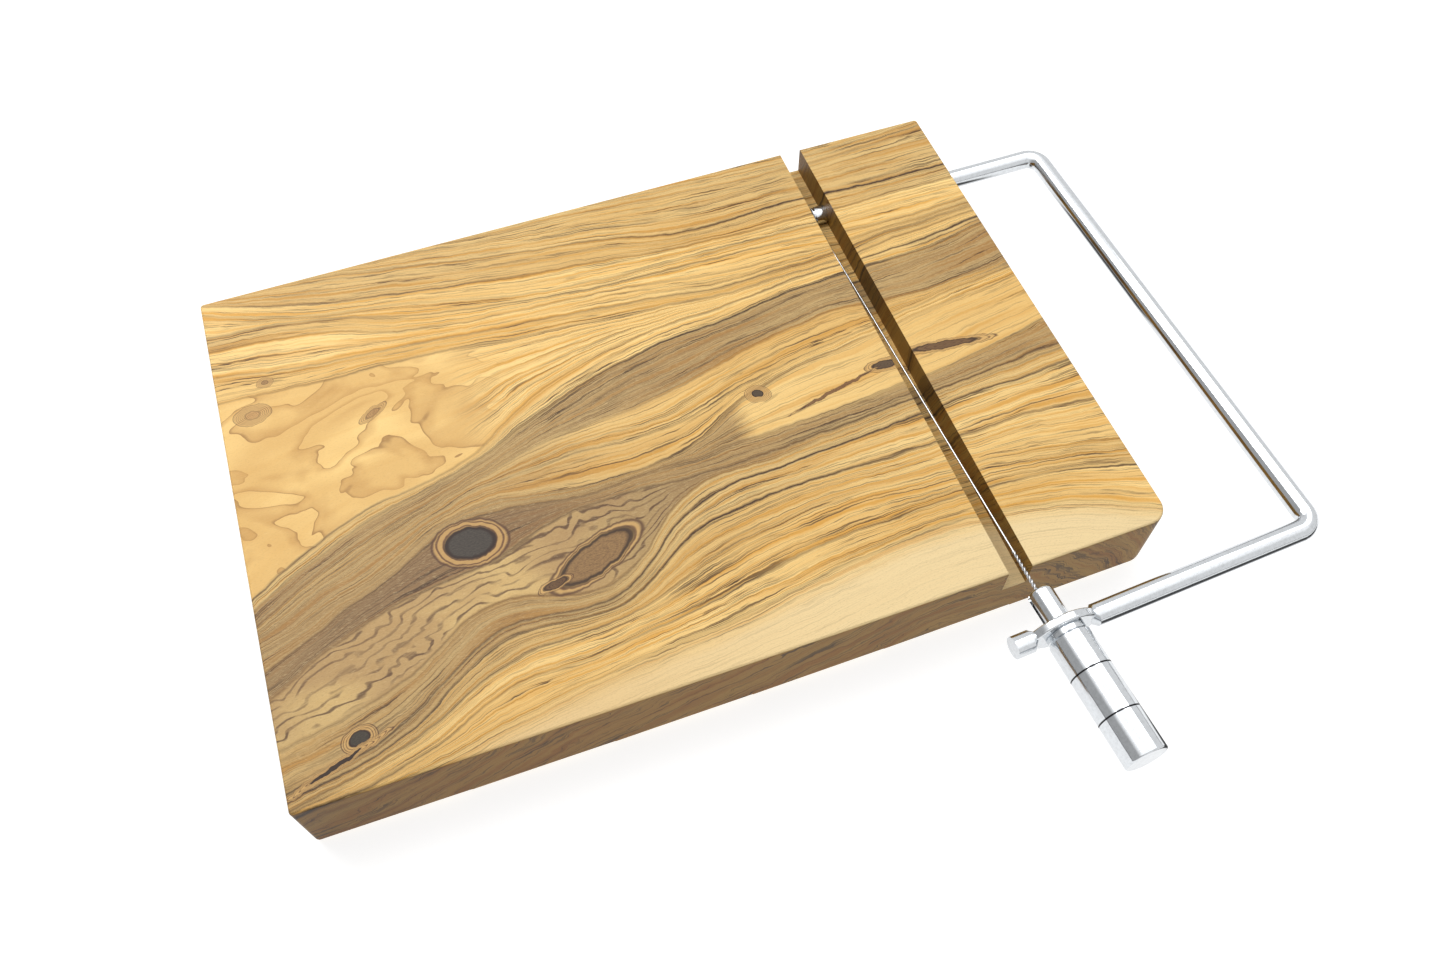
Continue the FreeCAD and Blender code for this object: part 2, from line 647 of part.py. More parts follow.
os.makedirs("parts", exist_ok=True)
for piece in pieces:
    piece.Shape.exportStep(f"parts/{piece.Label}.step")
    box = piece.Shape.BoundBox
    print(f"{piece.Label}: {piece.Shape.Volume:.1f} mm3, x {box.XMin:.2f}..{box.XMax:.2f}, "
          f"y {box.YMin:.2f}..{box.YMax:.2f}, z {box.ZMin:.2f}..{box.ZMax:.2f}")
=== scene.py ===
# Cheese cutter: a block of olive wood with a sawn slot, and a bent, chromed steel bow that is hinged in a
# drilled hole near its back edge. A stainless wire runs from the bow's hinge rod to a slotted stud in the
# bow's pressed eye, and the turned handle screws on to the stud and draws the wire tight.
import math

import bmesh
import bpy
from mathutils import Matrix, Vector


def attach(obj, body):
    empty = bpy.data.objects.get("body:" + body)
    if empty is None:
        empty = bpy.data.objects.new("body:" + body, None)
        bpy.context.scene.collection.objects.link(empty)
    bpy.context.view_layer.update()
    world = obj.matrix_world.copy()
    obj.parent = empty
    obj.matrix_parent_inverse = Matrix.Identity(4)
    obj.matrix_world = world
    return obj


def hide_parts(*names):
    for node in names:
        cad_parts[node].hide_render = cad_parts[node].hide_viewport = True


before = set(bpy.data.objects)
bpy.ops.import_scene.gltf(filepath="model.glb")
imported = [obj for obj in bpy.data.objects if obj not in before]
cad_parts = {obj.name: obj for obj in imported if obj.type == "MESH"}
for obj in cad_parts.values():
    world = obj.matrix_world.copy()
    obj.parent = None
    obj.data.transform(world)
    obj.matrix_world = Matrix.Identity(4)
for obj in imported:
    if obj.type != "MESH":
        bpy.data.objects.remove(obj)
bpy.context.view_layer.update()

# ---- view, floor and light ----------------------------------------------------------------------------
# The cutter stands on a matt white floor in a white studio. Two soft lights hang over its back edge, and
# the walls are darker on the left and near the floor, so that the chrome has something to mirror.
scene = bpy.context.scene
scene.view_settings.view_transform = "Standard"

# the eye looks down at the board from its front left; places in metres
EYE_AT = (-0.0530, -0.2002, 0.3196)
heading = math.radians(20.12)
pitch = math.radians(58.63)
roll = math.radians(0.17)
ahead = Vector((math.cos(pitch) * math.sin(heading), math.cos(pitch) * math.cos(heading),
                -math.sin(pitch)))
level = Vector((math.cos(heading), -math.sin(heading), 0))
upward = level.cross(ahead)
right = math.cos(roll) * level + math.sin(roll) * upward
upward = right.cross(ahead)
camera_data = bpy.data.cameras.new("view")
camera_data.lens = 29.71
camera_data.sensor_width = 36
camera_data.clip_start = 0.01
camera = bpy.data.objects.new("view", camera_data)
turn = Matrix((right, upward, -ahead)).transposed().to_4x4()
camera.matrix_world = Matrix.Translation(EYE_AT) @ turn
scene.collection.objects.link(camera)
scene.camera = camera


def new_object(name, mesh_maker, smooth_angle=None):
    """Object whose mesh is filled by mesh_maker(bm), with its faces turned outward."""
    bm = bmesh.new()
    mesh_maker(bm)
    bmesh.ops.recalc_face_normals(bm, faces=bm.faces)
    mesh = bpy.data.meshes.new(name)
    if smooth_angle is not None:
        for face in bm.faces:
            face.smooth = True
        for edge in bm.edges:
            edge.smooth = not (edge.is_manifold and edge.calc_face_angle(0.0) > smooth_angle)
    bm.to_mesh(mesh)
    bm.free()
    made = bpy.data.objects.new(name, mesh)
    scene.collection.objects.link(made)
    return made


def new_material(name):
    """Material with an empty node tree holding only the surface shader; returns material, tree, shader."""
    material = bpy.data.materials.new(name)
    material.use_nodes = True
    tree = material.node_tree
    return material, tree, tree.nodes["Principled BSDF"]


class Nodes:
    """Adds nodes to one tree; inputs are sockets or plain numbers."""

    def __init__(self, tree):
        self.tree = tree

    def node(self, kind, inputs=(), **settings):
        made = self.tree.nodes.new(kind)
        for key, value in settings.items():
            setattr(made, key, value)
        for slot, value in dict(inputs).items():
            if isinstance(value, bpy.types.NodeSocket):
                self.tree.links.new(value, made.inputs[slot])
            else:
                made.inputs[slot].default_value = value
        return made

    def math(self, operation, a, b=0.0, c=0.0, clamp=False):
        made = self.node("ShaderNodeMath", {0: a, 1: b, 2: c}, operation=operation, use_clamp=clamp)
        return made.outputs[0]

    def times(self, a, b, clamp=False):
        return self.math("MULTIPLY", a, b, clamp=clamp)

    def plus(self, a, b):
        return self.math("ADD", a, b)

    def minus(self, a, b, clamp=False):
        return self.math("SUBTRACT", a, b, clamp=clamp)

    def curve(self, at, places, values):
        """Smooth curve through the values, which all lie in 0..1."""
        made = self.node("ShaderNodeFloatCurve", {"Value": at})
        line = made.mapping.curves[0]
        line.points[0].location = (places[0], values[0])
        line.points[1].location = (places[-1], values[-1])
        for place, value in list(zip(places, values))[1:-1]:
            line.points.new(place, value)
        made.mapping.extend = "HORIZONTAL"
        made.mapping.update()
        return made.outputs[0]

    def mix(self, amount, a, b, blend_type="MIX"):
        """Colour a, taken towards colour b by the amount."""
        made = self.node("ShaderNodeMix", data_type="RGBA", blend_type=blend_type)
        for slot, value in ((0, amount), (6, a), (7, b)):
            if isinstance(value, bpy.types.NodeSocket):
                self.tree.links.new(value, made.inputs[slot])
            else:
                made.inputs[slot].default_value = value
        return made.outputs[2]

    def noise(self, vector, scale, detail=2.0, rough=0.5, distortion=0.0):
        return self.node("ShaderNodeTexNoise", {"Vector": vector, "Scale": scale, "Detail": detail,
                                               "Roughness": rough, "Distortion": distortion}).outputs["Fac"]

    def vector(self, x, y, z):
        return self.node("ShaderNodeCombineXYZ", {0: x, 1: y, 2: z}).outputs[0]

    def ramp(self, value, low, high, low_result=0.0, high_result=1.0):
        """Smooth change between two results as the value goes from low to high, or down to it."""
        made = self.node("ShaderNodeMapRange", {"Value": value, "From Min": low, "From Max": high,
                                               "To Min": low_result, "To Max": high_result},
                         interpolation_type="SMOOTHSTEP")
        return made.outputs[0]


floor = new_object("floor", lambda bm: bmesh.ops.create_grid(bm, x_segments=1, y_segments=1, size=3.0))
floor_material, tree, floor_shader = new_material("pale_floor")
floor_shader.inputs["Roughness"].default_value = 0.9
floor_shader.inputs["Specular IOR Level"].default_value = 0.0
floor_shader.inputs["Emission Strength"].default_value = 0.80
# Painted reflections: floor patches that only glossy rays see darkened, so that the polished steel mirrors
# dark stripes where nothing dark lies: left, right, front and back in metres, the width of their soft edge,
# and how much of the floor's light they take away.
PAINTED_REFLECTION_PATCHES = ((0.104, 0.30, -0.20, -0.122), (0.127, 0.152, -0.005, 0.052))
EDGE = 0.006
DIMMED = 0.93
n = Nodes(tree)
floor_spot = n.node("ShaderNodeTexCoord").outputs["Object"]
floor_place = n.node("ShaderNodeSeparateXYZ", {0: floor_spot}).outputs
painted_reflection_patches = 0.0
for left, right_side, front, back in PAINTED_REFLECTION_PATCHES:
    wide = n.times(n.ramp(floor_place[0], left - EDGE, left + EDGE),
                  n.ramp(floor_place[0], right_side + EDGE, right_side - EDGE))
    deep = n.times(n.ramp(floor_place[1], front - EDGE, front + EDGE),
                  n.ramp(floor_place[1], back + EDGE, back - EDGE))
    painted_reflection_patches = n.math("MAXIMUM", n.times(wide, deep), painted_reflection_patches)
# painted reflection: the patches darken the floor's colour and glow for glossy rays only
painted_reflection_mask = n.times(painted_reflection_patches, n.node("ShaderNodeLightPath").outputs["Is Glossy Ray"])
for socket, full in (("Base Color", 0.40), ("Emission Color", 1.0)):
    tree.links.new(n.math("MULTIPLY_ADD", painted_reflection_mask, -DIMMED * full, full), floor_shader.inputs[socket])
floor.data.materials.append(floor_material)

world = bpy.data.worlds.new("studio")
scene.world = world
world.use_nodes = True
sky = Nodes(world.node_tree)
direction = sky.node("ShaderNodeTexCoord").outputs["Generated"]
facing = sky.node("ShaderNodeSeparateXYZ", {0: direction}).outputs
# walls that brighten from left to right under a brighter ceiling, and dark just over the floor
walls = sky.ramp(facing[0], -0.75, 0.30, 0.46, 0.90)
dome = sky.ramp(facing[2], 0.60, 0.90, walls, 1.5)
rays = sky.node("ShaderNodeLightPath").outputs
seen = sky.times(dome, sky.ramp(facing[2], 0.015, 0.05, 0.03, 1.0))
# matt things are lit by a dimmer, even sky, and the background is plain white
lit = sky.node("ShaderNodeMix", {"Factor": rays["Is Diffuse Ray"], "A": seen, "B": 0.34}).outputs[0]
plain = sky.node("ShaderNodeMix", {"Factor": rays["Is Camera Ray"], "A": lit, "B": 1.0}).outputs[0]
background = world.node_tree.nodes["Background"]
world.node_tree.links.new(plain, background.inputs["Strength"])
background.inputs["Color"].default_value = (1, 1, 1, 1)


def area_light(name, at, size, power):
    """Square soft light at a point, facing the board's middle."""
    data = bpy.data.lights.new(name, "AREA")
    data.shape = "SQUARE"
    data.size = size
    data.energy = power
    made = bpy.data.objects.new(name, data)
    made.location = at
    made.rotation_mode = "QUATERNION"
    made.rotation_quaternion = (-Vector(at)).to_track_quat("-Z", "Y")
    scene.collection.objects.link(made)


area_light("key", (-0.30, 0.62, 0.95), 0.8, 9.6)
area_light("fill", (0.55, 0.25, 0.95), 0.6, 3.0)

# ---- board --------------------------------------------------------------------------------------------
# A thick block of oiled olive wood, sawn from one plank that held pale wood, brown heart and several knots.
# The slot is sawn through its top along its depth, and the hinge hole is drilled in from its right edge.
MM = 0.001
HALF_WIDTH = 125.0
THICK = 25.0

# Growth lines of the wood from the back edge to the front. Each row has the line's place in whole
# millimetres from the board's middle at nine even steps from its left edge to its right, then at five even
# steps how dark the line is, and how amber and how brown the band in front of it is, in percent.
BACK_BAND = ((10, 10, 0, 0, 0), (0, 30, 30, 35, 40))
GROWTH_LINES = (
    ((92, 89, 88, 85, 84, 81, 80, 80, 82),
     (0, 1, 2, 4, 7), (10, 15, 15, 15, 0), (0, 25, 20, 30, 35)),
    ((89, 86, 81, 75, 71, 64, 65, 64, 64),
     (1, 7, 11, 23, 23), (5, 25, 40, 30, 0), (30, 25, 15, 20, 35)),
    ((86, 76, 70, 65, 61, 58, 57, 57, 58),
     (6, 10, 9, 10, 10), (5, 30, 10, 5, 0), (0, 5, 0, 5, 0)),
    ((82, 71, 65, 57, 54, 53, 53, 52, 52),
     (7, 6, 8, 7, 1), (10, 25, 0, 15, 20), (0, 5, 0, 5, 0)),
    ((73, 69, 60, 54, 51, 50, 49, 46, 47),
     (9, 8, 16, 9, 6), (25, 40, 5, 25, 15), (30, 0, 0, 0, 25)),
    ((67, 63, 54, 50, 48, 44, 42, 43, 44),
     (11, 6, 8, 6, 7), (10, 5, 15, 30, 20), (0, 0, 0, 5, 30)),
    ((56, 51, 48, 45, 42, 38, 38, 41, 42),
     (7, 9, 10, 14, 8), (35, 45, 40, 40, 25), (0, 0, 0, 10, 20)),
    ((46, 44, 43, 40, 37, 35, 35, 38, 40),
     (6, 10, 5, 10, 8), (25, 15, 5, 5, 10), (0, 0, 0, 0, 0)),
    ((-24, -7, 0, 18, 27, 30, 33, 34, 37),
     (16, 8, 8, 16, 22), (0, 0, 5, 20, 0), (35, 25, 0, 0, 65)),
    ((-27, -11, -2, 11, 21, 25, 29, 30, 34),
     (6, 10, 20, 21, 5), (0, 0, 0, 0, 0), (75, 60, 65, 60, 55)),
    ((-32, -16, -6, 5, 14, 19, 24, 26, 31),
     (7, 4, 4, 4, 5), (0, 0, 0, 0, 0), (55, 55, 65, 60, 65)),
    ((-34, -20, -8, 0, 3, 11, 16, 14, 18),
     (3, 4, 4, 5, 4), (0, 5, 25, 50, 0), (60, 50, 10, 5, 65)),
    ((-36, -23, -11, -8, -8, 0, 5, 10, 14),
     (3, 4, 8, 5, 11), (0, 5, 35, 20, 20), (65, 50, 10, 0, 0)),
    ((-40, -29, -16, -19, -18, -3, 2, 7, 11),
     (3, 5, 9, 4, 2), (0, 0, 0, 20, 45), (65, 60, 60, 55, 0)),
    ((-46, -32, -19, -22, -21, -20, -18, -15, -9),
     (9, 11, 8, 7, 11), (0, 0, 0, 0, 0), (80, 90, 65, 65, 60)),
    ((-54, -40, -34, -26, -27, -26, -24, -22, -19),
     (7, 12, 10, 18, 16), (0, 0, 0, 0, 0), (50, 40, 75, 35, 50)),
    ((-68, -62, -47, -52, -31, -28, -26, -24, -21),
     (6, 11, 8, 4, 11), (25, 0, 0, 0, 15), (45, 60, 35, 30, 20)),
    ((-81, -72, -55, -56, -36, -32, -30, -28, -26),
     (17, 14, 22, 22, 16), (20, 0, 0, 0, 20), (45, 60, 30, 15, 5)),
    ((-83, -75, -58, -59, -43, -40, -40, -40, -41),
     (22, 10, 22, 17, 8), (0, 30, 35, 15, 20), (45, 30, 15, 10, 0)),
    ((-85, -78, -65, -63, -54, -49, -50, -52, -57),
     (13, 12, 6, 3, 6), (55, 15, 35, 30, 25), (35, 5, 0, 5, 15)),
    ((-87, -83, -72, -70, -65, -60, -59, -60, -67),
     (23, 7, 12, 8, 6), (5, 40, 10, 40, 10), (45, 0, 0, 0, 0)),
    ((-89, -86, -80, -76, -73, -69, -66, -70, -82),
     (5, 4, 6, 6, 4), (5, 35, 15, 0, 0), (45, 10, 10, 15, 15)),
)
# Knots: middle, half length, half width (mm), turn (degrees), darkness, size of the ringed field round it,
# and the colour of its heart (display red, green, blue)
KNOTS = (
    (-64.5, -26.3, 7.0, 4.9, -8, 1.0, 1.55, (56, 50, 44)),
    (-32.5, -42.5, 12.4, 4.6, 23, 0.9, 1.30, (112, 86, 56)),
    (-45.5, -46.8, 3.6, 1.2, 12, 0.85, 1.5, (60, 38, 26)),
    (29.5, -5.8, 1.7, 1.3, -20, 0.95, 2.4, (52, 44, 36)),
    (91.0, -8.0, 10.5, 1.3, -7, 0.85, 1.6, (66, 44, 32)),
    (70.0, -8.7, 3.8, 1.5, -4, 0.9, 1.7, (52, 40, 34)),
    (52.0, -12.6, 13.0, 0.5, 13, 0.8, 1.3, (84, 54, 36)),
    (-104.7, -72.2, 2.7, 2.0, 10, 1.0, 1.8, (50, 44, 36)),
    (-111.8, -77.4, 7.0, 0.55, 19, 1.0, 2.4, (40, 28, 20)),
    (-110.2, 49.3, 1.0, 0.8, 0, 0.6, 2.6, (110, 80, 50)),
    (-81.5, 27.0, 2.6, 0.9, 30, 0.5, 2.0, (120, 84, 52)),
    (-115.5, 38.4, 2.2, 1.4, 0, 0.35, 2.6, (150, 110, 70)),
)

wood, tree, wood_shader = new_material("olive_wood")


def colour(red, green, blue):
    """Linear colour from display values 0..255."""
    def one(value):
        part = value / 255
        return part / 12.92 if part < 0.04045 else ((part + 0.055) / 1.055) ** 2.4
    return (one(red), one(green), one(blue), 1)


n = Nodes(tree)
place = n.node("ShaderNodeTexCoord").outputs["Object"]
in_mm = n.node("ShaderNodeVectorMath", {0: place, "Scale": 1 / MM}, operation="SCALE").outputs[0]
split = n.node("ShaderNodeSeparateXYZ", {0: in_mm})
x, y, z = split.outputs
# depth below the top, and the slow and quick wandering of the grain
depth = n.minus(THICK, z)
waver = n.minus(n.noise(n.vector(n.times(x, 0.5), y, depth), 0.09, 3.0), 0.5)
ripple = n.minus(n.noise(n.vector(x, n.times(y, 0.4), depth), 0.32, 2.0), 0.5)
# how far the growth lines lean towards the back, mm for each mm of depth
LEAN = 0.3
level_y = n.minus(y, n.times(depth, LEAN))
wander = n.plus(n.times(waver, 3.2), n.times(ripple, 0.7))
level_y = n.plus(level_y, wander)
across = n.plus(n.math("DIVIDE", x, 2 * HALF_WIDTH), 0.5)
# the curves hold values of 0 to 1, which stand for this many millimetres from front to back; then the
# widths of a line's half, of a band's soft edge, of the narrowest year's growth and of the bark side's edge
SPAN = 200.0
LINE_HALF_WIDTH = 0.7
BAND_EDGE = 2.2
NARROWEST = 1.5
SAP_EDGE = 6.0
v = n.plus(n.math("DIVIDE", level_y, SPAN), 0.5)

# even steps from the left edge to the right
stations = [k / 4 for k in range(5)]
line_stations = [k / 8 for k in range(9)]


def percent(values):
    """Percents as parts of 1."""
    return [value / 100 for value in values]


amber = n.curve(across, stations, percent(BACK_BAND[0]))
brown = n.curve(across, stations, percent(BACK_BAND[1]))
lines = 0.0
steps = []
before_line = None
before_amber, before_brown = amber, brown
# growth counts the millimetres grown from the back edge on, so that it is even between any two lines
for row, (places, dark, amber_row, brown_row) in enumerate(GROWTH_LINES):
    at = n.curve(across, line_stations, [value / SPAN + 0.5 for value in places])
    gap = n.minus(at, v)
    if row == 0:
        growth = n.times(n.math("MINIMUM", gap, 0.0), SPAN)
    else:
        room = n.minus(before_line, at)
        passed = n.math("DIVIDE", n.minus(before_line, v), room, clamp=True)
        width = max(NARROWEST, sum(p - q for p, q in zip(GROWTH_LINES[row - 1][0], places)) / len(places))
        growth = n.math("MULTIPLY_ADD", passed, width, growth)
    nearness = n.minus(1.0, n.times(n.math("ABSOLUTE", gap), SPAN / LINE_HALF_WIDTH), clamp=True)
    strength = n.curve(across, stations, percent(dark))
    lines = n.math("MAXIMUM", lines, n.times(nearness, strength))
    step = n.math("MULTIPLY_ADD", gap, SPAN / BAND_EDGE, 0.5, clamp=True)
    steps.append(step)
    band_amber = n.curve(across, stations, percent(amber_row))
    band_brown = n.curve(across, stations, percent(brown_row))
    amber = n.math("MULTIPLY_ADD", step, n.minus(band_amber, before_amber), amber)
    brown = n.math("MULTIPLY_ADD", step, n.minus(band_brown, before_brown), brown)
    before_amber, before_brown = band_amber, band_brown
    before_line = at
growth = n.math("MULTIPLY_ADD", n.math("MAXIMUM", n.minus(before_line, v), 0.0), SPAN, growth)

slow = n.times(depth, 0.02)


def drawn_out(stretch, scale, detail, rough):
    """Noise drawn out along the growth lines, the more so the smaller the stretch."""
    return n.noise(n.vector(n.times(x, stretch), growth, slow), scale, detail, rough)


def close_to(value, level, far, near):
    """1 where the value is within near of the level, fading to 0 at far."""
    return n.ramp(n.math("ABSOLUTE", n.minus(value, level)), far, near)


# fine lines and streaks that run with the growth lines
streaks = drawn_out(0.014, 0.8, 3.0, 0.55)
threads = drawn_out(0.009, 0.5, 3.0, 0.5)
hairs = drawn_out(0.016, 1.7, 2.0, 0.5)
fibres = n.noise(n.vector(n.times(x, 0.2), level_y, depth), 2.6, 3.0, 0.75)
patches = n.noise(n.vector(n.times(x, 0.6), y, depth), 0.05, 2.0)
thread_line = close_to(threads, 0.5, 0.014, 0.003)
second_line = close_to(streaks, 0.44, 0.022, 0.005)
hair_line = close_to(hairs, 0.47, 0.022, 0.006)
fine = n.math("MAXIMUM", thread_line, n.times(second_line, 0.7))
fine = n.times(fine, n.ramp(patches, 0.25, 0.55))
hair_strength = n.times(n.ramp(patches, 0.62, 0.4), 0.42)
fine = n.math("MAXIMUM", fine, n.times(hair_line, hair_strength))
# yearly rings: each darkens slowly towards the front and ends in a thin dark line
year = n.math("FRACT", n.math("MULTIPLY_ADD", streaks, 1.6, n.times(growth, 0.27)))
late = n.times(n.ramp(year, 0.35, 0.97), n.ramp(year, 1.0, 0.985))
year_line = n.times(n.ramp(year, 0.93, 0.972), n.ramp(year, 1.0, 0.985))
broken_up = n.vector(n.times(x, 0.010), n.times(growth, 0.35), slow)
runs = n.noise(broken_up, 1.0, 2.0, 0.5)
year_line = n.times(year_line, n.ramp(runs, 0.40, 0.54))

face_normal = n.node("ShaderNodeTexCoord").outputs["Normal"]
turned_to = n.node("ShaderNodeSeparateXYZ", {0: face_normal}).outputs
side = n.ramp(n.math("ABSOLUTE", turned_to[2]), 0.75, 0.2)

# places where the growth turns round branches: pale, with drifting outlines instead of streaks
CLOUD, SWIRL, EYE = (7, 8), (15, 16), (13, 14)
drift = n.noise(n.vector(x, n.times(y, 1.35), depth), 0.030, 3.0, 0.45, 0.55)
swirls = n.noise(n.vector(n.times(x, 0.55), y, depth), 0.075, 2.0, 0.5, 1.1)


def between(rows, start, full):
    """1 between two growth lines, fading in along x from start to full."""
    inside = n.minus(steps[rows[0]], steps[rows[1]])
    return n.times(inside, n.ramp(x, start, full))


cloud = between(CLOUD, -38.0, -62.0)
swirl = between(SWIRL, 2.0, -12.0)
eye = between(EYE, 17.0, 26.0)
calm = n.math("MAXIMUM", cloud, n.math("MAXIMUM", swirl, n.times(eye, 0.45)))
# the pale wood under the bark, in front of the last growth line, which only the top shows
past_last = n.minus(v, before_line)
sap = n.minus(1.0, n.math("MULTIPLY_ADD", past_last, SPAN / SAP_EDGE, 1.0, clamp=True))
sap = n.times(sap, n.minus(1.0, side))
calm = n.math("MAXIMUM", calm, n.times(sap, 0.8))
lively = n.minus(1.0, calm)

honey = colour(253, 216, 142)
honey_deep = colour(226, 170, 82)
amber_colour = colour(194, 138, 50)
brown_colour = colour(118, 89, 63)
line_colour = colour(54, 32, 20)
surface = n.mix(n.times(n.ramp(streaks, 0.46, 0.66), n.math("MULTIPLY_ADD", lively, 0.85, 0.15)),
                honey, honey_deep)
surface = n.mix(n.times(n.times(late, lively), 0.30), surface, colour(196, 138, 54))
surface = n.mix(n.times(sap, 0.8), surface, colour(252, 228, 176))
surface = n.mix(n.times(cloud, n.times(n.ramp(patches, 0.30, 0.62), 0.55)),
                surface, colour(206, 160, 92))
level_part = n.math("FRACT", n.times(drift, 7.0))
cloud_edge = n.times(n.ramp(level_part, 0.09, 0.0), n.ramp(patches, 0.70, 0.42))
cloud_shade = n.ramp(level_part, 0.55, 0.0)
surface = n.mix(n.times(cloud, n.times(cloud_shade, 0.42)),
                surface, colour(168, 116, 58))
surface = n.mix(n.times(cloud, n.times(cloud_edge, 0.62)),
                surface, colour(104, 64, 38))
brown = n.times(brown, n.math("MULTIPLY_ADD", eye, -0.85, 1.0))
surface = n.mix(n.times(amber, 0.9), surface, amber_colour)
surface = n.mix(brown, surface, brown_colour)
meander = n.math("MULTIPLY_ADD", swirls, 8.0, growth)
rings = n.ramp(n.math("SINE", n.times(meander, 3.8)), 0.30, 0.98)
rings = n.times(rings, n.ramp(threads, 0.36, 0.60))
surface = n.mix(n.times(swirl, n.times(n.ramp(patches, 0.35, 0.6), 0.5)),
                surface, colour(150, 112, 76))
surface = n.mix(n.times(swirl, n.times(rings, 0.85)), surface, colour(72, 44, 32))
surface = n.mix(n.times(n.times(year_line, lively), 0.9), surface, line_colour)
surface = n.mix(n.times(n.times(fine, lively), 0.82), surface, line_colour)
surface = n.mix(n.times(lines, 5.0, clamp=True), surface, line_colour)
speckle = n.noise(n.vector(n.times(x, 0.35), y, depth), 3.4, 2.0, 0.7)
surface = n.mix(n.times(n.ramp(speckle, 0.5, 0.74), n.math("MULTIPLY_ADD", brown, 0.30, 0.13)),
                surface, colour(92, 62, 38))
surface = n.mix(n.times(n.ramp(fibres, 0.5, 0.25), n.math("MULTIPLY_ADD", brown, 0.2, 0.12)),
                surface, colour(252, 226, 172))

# knots, from outside in: a pale ringed field, its dark rim, the heart and a thin crust round the heart
for knot_x, knot_y, long, short, turned, darkness, halo, heart in KNOTS:
    cos, sin = math.cos(math.radians(turned)), math.sin(math.radians(turned))
    dx = n.minus(x, knot_x)
    dy = n.minus(n.math("MULTIPLY_ADD", ripple, 2.0, y), knot_y)
    a = n.math("DIVIDE", n.math("MULTIPLY_ADD", dx, cos, n.times(dy, sin)), long)
    b = n.math("DIVIDE", n.math("MULTIPLY_ADD", dx, -sin, n.times(dy, cos)), short)
    radius = n.math("SQRT", n.math("MULTIPLY_ADD", a, a, n.times(b, b)))
    ring = n.math("SINE", n.math("MULTIPLY_ADD", waver, 9.0, n.times(radius, 24.0)))
    pale = n.times(n.ramp(radius, halo, halo * 0.9), 0.75)
    ringed = n.mix(n.ramp(ring, 0.1, 1.0), colour(204, 162, 100), colour(104, 70, 46))
    surface = n.mix(pale, surface, ringed)
    rim = n.times(close_to(radius, halo, 0.1, 0.0), 0.85)
    surface = n.mix(rim, surface, colour(84, 54, 38))
    core = n.times(n.ramp(radius, 1.04, 0.93), darkness)
    lighter = colour(*(value * 1.35 for value in heart))
    surface = n.mix(core, surface, n.mix(n.ramp(speckle, 0.3, 0.7), colour(*heart), lighter))
    crust = n.times(close_to(radius, 0.97, 0.16, 0.03), darkness)
    surface = n.mix(crust, surface, colour(44, 28, 20))

# painted shade: faces turned to the side, the front face and the slot's walls among them, are darkened in
# the colour to stand in for their shade
painted_side_shade = n.times(side, 0.95)
surface = n.mix(painted_side_shade, surface, (0.30, 0.23, 0.09, 1), "MULTIPLY")

tree.links.new(surface, wood_shader.inputs["Base Color"])
wood_shader.inputs["Roughness"].default_value = 0.5
wood_shader.inputs["Specular IOR Level"].default_value = 0.22
bump = n.node("ShaderNodeBump", {"Height": fibres, "Strength": 0.1, "Distance": 0.0003})
tree.links.new(bump.outputs[0], wood_shader.inputs["Normal"])

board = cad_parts["board"]
board.data.materials.clear()
board.data.materials.append(wood)

# ---- bow, stud, washer and handle ---------------------------------------------------------------------
# Chromed steel: a bent rod pushed into the board's hinge hole, with a flat pressed eye that the slotted stud
# passes through. The ring lies between the eye and the turned handle, which is screwed on to the stud.
# a point on the handle's axis (mm) and the axis' direction, with the bow at rest
AXIS_FOOT = Vector((79.4, -105.869, 24.360))
AXIS = Vector((0.04884977, -0.9978555, 0.04356731))

# the finish: fine marks that dull the plating here and there, and slow waves left by the polishing
chrome_finish = bpy.data.node_groups.new("chrome_finish", "ShaderNodeTree")
chrome_finish.interface.new_socket("Place", in_out="INPUT", socket_type="NodeSocketVector")
for socket_name, kind in (("Plate", "NodeSocketColor"), ("Roughness", "NodeSocketFloat"),
                          ("Waves", "NodeSocketFloat")):
    chrome_finish.interface.new_socket(socket_name, in_out="OUTPUT", socket_type=kind)
n = Nodes(chrome_finish)
place = n.node("NodeGroupInput").outputs["Place"]
marks = n.noise(place, 0.9, 4.0, 0.7)
bright, dull = (0.70, 0.725, 0.75, 1), (0.60, 0.62, 0.64, 1)
n.node("NodeGroupOutput", {"Plate": n.mix(n.ramp(marks, 0.35, 0.8), bright, dull),
                           "Roughness": n.math("MULTIPLY_ADD", marks, 0.10, 0.05),
                           "Waves": n.noise(place, 0.12, 2.0, 0.5)})


# painted shade for the handle's grooves: its colour, the grooves' half width and the half width of their
# darkest middle (mm)
GROOVE_PAINTED_SHADE = (0.02, 0.02, 0.022, 1)
GROOVE_HALF_WIDTH = 0.34
GROOVE_FLOOR = 0.12


